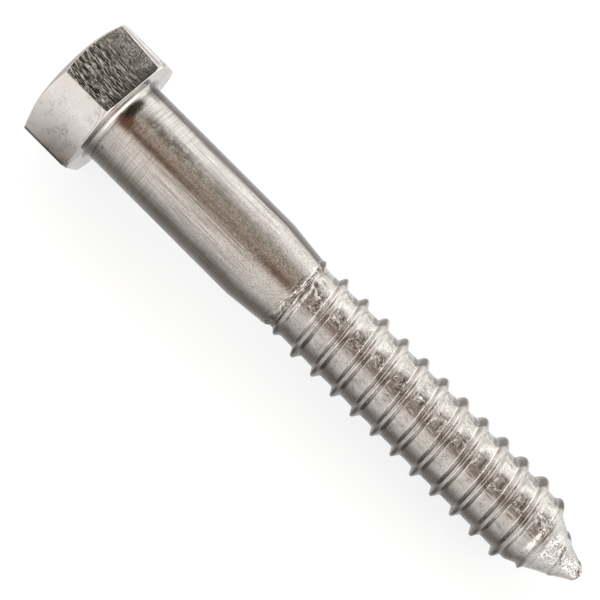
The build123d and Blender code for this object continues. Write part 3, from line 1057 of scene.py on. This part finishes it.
    # Fine relief, in millimetres.
    relief = turned_lines * (near_head * 0.05) + drawn_lines * (further * 0.035)
    relief = relief + grain * (on_shank * 0.016)
    rolled = n.noise(place * (3.4, 0.5, 0.5), 1.0, 4.0, 0.65)
    scuffed = n.noise(place * (0.6, 3.6, 3.6), 1.0, 4.0, 0.7)
    skin = rolled * 0.025 + scuffed * 0.02 + mottle * 0.008
    facet = chip["Distance"] * (chips - 0.5)
    relief = relief + skin * on_thread + rumple * (crumple * 0.25) + facet * (crumple * 0.55)
    relief = relief - crease * 0.06 + grain * (on_point * 0.02) - pits * 0.04
    relief = relief + (streaks * 0.07 + broken * 0.015) * coarse
    bump = n.fill(n.new("ShaderNodeBump"), {"Height": relief, "Distance": MM, "Strength": 1.0})
    shader = n.fill(n.new("ShaderNodeBsdfPrincipled"), {
        "Metallic": 1.0, "Base Color": coat.colour, "Roughness": rough, "Normal": bump})
    n.fill(n.new("ShaderNodeOutputMaterial"), (shader,))
    return material


def floor_material(studio):
    """Pale matt paint that looks white, with the bolt's shadow still on it."""
    material, n = new_material("pale_floor")
    place = Signal(n, n.new("ShaderNodeTexCoord").outputs["Object"])
    pale = tuple(studio.floor_colour)
    colour = n.mix(n.noise(place, 2.0, 3.0) * 0.02, pale, tuple(c * 0.96 for c in pale))
    paint = n.fill(n.new("ShaderNodeBsdfPrincipled"), {
        "Roughness": 0.9, "Specular IOR Level": 0.1, "Base Color": colour})
    glow = n.fill(n.new("ShaderNodeEmission"), {"Color": (0.98, 0.99, 1.0, 1.0), "Strength": 1.2})
    rays = n.new("ShaderNodeLightPath").outputs
    camera, glossy, through = (
        Signal(n, rays[name]) for name in ("Is Camera Ray", "Is Glossy Ray", "Is Transmission Ray"))
    seen = n.most(camera, n.most(glossy, through)) * studio.floor_glow
    blend = n.fill(n.new("ShaderNodeMixShader"), (seen, paint, glow))
    n.fill(n.new("ShaderNodeOutputMaterial"), (blend,))
    return material


# ---- Operators ------------------------------------------------------------------------------

# The studio as the bolt sees it: degrees round its axis from the camera, and the light's colour.
STUDIO_LIGHT = (
    (-180, 0.50, 0.50, 0.50), (-78, 0.86, 0.85, 0.83), (-60, 0.90, 0.88, 0.85),
    (-40, 0.92, 0.89, 0.86), (-24, 0.97, 0.93, 0.88), (-16, 0.88, 0.82, 0.76),
    (-10, 0.62, 0.55, 0.48), (-5, 0.40, 0.32, 0.26), (0, 0.31, 0.24, 0.19),
    (5, 0.32, 0.256, 0.207), (12, 0.365, 0.292, 0.243), (24, 0.52, 0.44, 0.37),
    (32, 0.49, 0.43, 0.36), (40, 0.42, 0.385, 0.335), (48, 0.52, 0.49, 0.45),
    (56, 0.78, 0.755, 0.72), (63, 1.02, 1.00, 0.97), (74, 1.02, 1.01, 0.98),
    (88, 1.08, 1.07, 1.03), (104, 1.20, 1.20, 1.17), (118, 1.14, 1.14, 1.14),
    (180, 0.50, 0.50, 0.50))


# The soft lamp, in metres and degrees: length and width, how far it stands out from the axis
# and along it, and how far round it is from the camera.
LAMP_LENGTH, LAMP_WIDTH, LAMP_OUT, LAMP_ALONG, LAMP_ROUND = 1.2, 0.5, 1.1, 0.06, 84
# The camera's film width, in millimetres.
FILM_WIDTH = 36


class LAGBOLT_OT_metal(Operator):
    """Build the bolt's worn metal surface over its solid"""

    bl_idname = "lagbolt.metal"
    bl_label = "Build bolt"

    def execute(self, context):
        sizes = context.scene.bolt_sizes
        shape = BoltShape(sizes)
        mesh = build_bolt_mesh(shape, BoltFrame(sizes), cad_bounds[0])
        mesh.materials.append(steel_material(context.scene.bolt_colours, sizes))
        metal = bpy.data.objects.new("lag_bolt_metal", mesh)
        context.scene.collection.objects.link(metal)
        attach(metal, "root")
        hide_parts("lag_bolt")
        return {"FINISHED"}


class LAGBOLT_OT_stage(Operator):
    """Lay the floor and set the light and the camera"""

    bl_idname = "lagbolt.stage"
    bl_label = "Build stage"

    def execute(self, context):
        scene = context.scene
        studio = scene.bolt_studio
        bolt_frame = BoltFrame(scene.bolt_sizes)
        self.lay_floor(scene, studio)
        self.light_world(scene, studio, bolt_frame)
        self.hang_lamp(scene, studio, bolt_frame)
        self.set_camera(scene, studio, bolt_frame)
        scene.view_settings.view_transform = "Standard"
        return {"FINISHED"}

    def lay_floor(self, scene, studio):
        work = bmesh.new()
        bmesh.ops.create_circle(work, cap_ends=True, segments=96, radius=studio.floor_radius)
        mesh = bpy.data.meshes.new("floor")
        work.to_mesh(mesh)
        work.free()
        mesh.transform(Matrix.Translation((0, 0, cad_bounds[0].z)))
        mesh.materials.append(floor_material(studio))
        floor = bpy.data.objects.new("floor", mesh)
        scene.collection.objects.link(floor)

    def light_world(self, scene, studio, bolt_frame):
        """A soft studio all round: a long box light each side, a dim warm ceiling between."""
        world = bpy.data.worlds.new("soft_studio")
        scene.world = world
        world.use_nodes = True
        n = Nodes(world.node_tree)
        turn = math.degrees(studio.camera_turn)
        look = Signal(n, n.new("ShaderNodeTexCoord").outputs["Generated"])
        toward, beside, ahead = (n.vector("DOT_PRODUCT", look, tuple(way)) for way in (
            bolt_frame.outward(turn), bolt_frame.outward(turn - 90), bolt_frame.axis))
        bearing = n.math("ARCTAN2", beside, toward) / (2 * math.pi)
        ramp = n.new("ShaderNodeValToRGB")
        marks = ramp.color_ramp.elements
        while len(marks) < len(STUDIO_LIGHT):
            marks.new(0.5)
        for mark, (degrees, *colour) in zip(marks, STUDIO_LIGHT):
            mark.position = degrees / 360 + 0.5
            mark.color = (*colour, 1)
        ends = n.math("ABSOLUTE", ahead).ramp(0.5, 0.85)
        colour = n.mix(ends, n.fill(ramp, (bearing + 0.5,)), (1.0, 1.0, 1.0))
        background = n.fill(n.new("ShaderNodeBackground"), (colour, 1.0 + ends))
        n.fill(n.new("ShaderNodeOutputWorld"), (background,))

    def hang_lamp(self, scene, studio, bolt_frame):
        """One large soft lamp over the bolt's upper side."""
        lamp = bpy.data.lights.new("soft_box", "AREA")
        lamp.shape = "RECTANGLE"
        lamp.size = LAMP_LENGTH
        lamp.size_y = LAMP_WIDTH
        lamp.energy = studio.lamp_power
        box = bpy.data.objects.new("soft_box", lamp)
        direction = bolt_frame.outward(math.degrees(studio.camera_turn) - LAMP_ROUND)
        along = bolt_frame.axis
        turned = Matrix((along, direction.cross(along), direction)).transposed().to_4x4()
        middle = bolt_frame.bearing + along * LAMP_ALONG
        box.matrix_world = Matrix.Translation(middle + direction * LAMP_OUT) @ turned
        scene.collection.objects.link(box)

    def set_camera(self, scene, studio, bolt_frame):
        turn = math.degrees(studio.camera_turn)
        back = bolt_frame.outward(turn)
        beside = bolt_frame.outward(turn - 90)
        along = bolt_frame.axis
        roll = studio.camera_roll
        right = along * math.cos(roll) + beside * math.sin(roll)
        up = beside * math.cos(roll) - along * math.sin(roll)
        aim = bolt_frame.bearing + along * studio.camera_aim + beside * studio.camera_side
        lens = bpy.data.cameras.new("camera")
        lens.sensor_width = FILM_WIDTH
        lens.lens = lens.sensor_width * studio.camera_distance / studio.camera_width
        camera = bpy.data.objects.new("camera", lens)
        turned = Matrix((right, up, back)).transposed().to_4x4()
        camera.matrix_world = Matrix.Translation(aim + back * studio.camera_distance) @ turned
        scene.collection.objects.link(camera)
        scene.camera = camera


class LAGBOLT_PT_panel(Panel):
    """Lists the steps and the sizes"""

    bl_idname = "LAGBOLT_PT_panel"
    bl_label = "Lag Bolt"
    bl_space_type = "VIEW_3D"
    bl_region_type = "UI"
    bl_category = "Lag Bolt"

    def draw(self, context):
        layout = self.layout
        layout.operator(LAGBOLT_OT_metal.bl_idname)
        layout.operator(LAGBOLT_OT_stage.bl_idname)
        for group in (context.scene.bolt_sizes, context.scene.bolt_colours, context.scene.bolt_studio):
            box = layout.box()
            for name in group.__annotations__:
                box.prop(group, name)


classes = (
    BoltSizes, BoltColours, StudioSettings, LAGBOLT_OT_metal, LAGBOLT_OT_stage, LAGBOLT_PT_panel)


def register():
    for item in classes:
        bpy.utils.register_class(item)
    bpy.types.Scene.bolt_sizes = PointerProperty(type=BoltSizes)
    bpy.types.Scene.bolt_colours = PointerProperty(type=BoltColours)
    bpy.types.Scene.bolt_studio = PointerProperty(type=StudioSettings)


def unregister():
    del bpy.types.Scene.bolt_studio
    del bpy.types.Scene.bolt_colours
    del bpy.types.Scene.bolt_sizes
    for item in reversed(classes):
        bpy.utils.unregister_class(item)


def main():
    register()
    bpy.ops.lagbolt.metal()
    bpy.ops.lagbolt.stage()


if __name__ == "__main__":
    main()
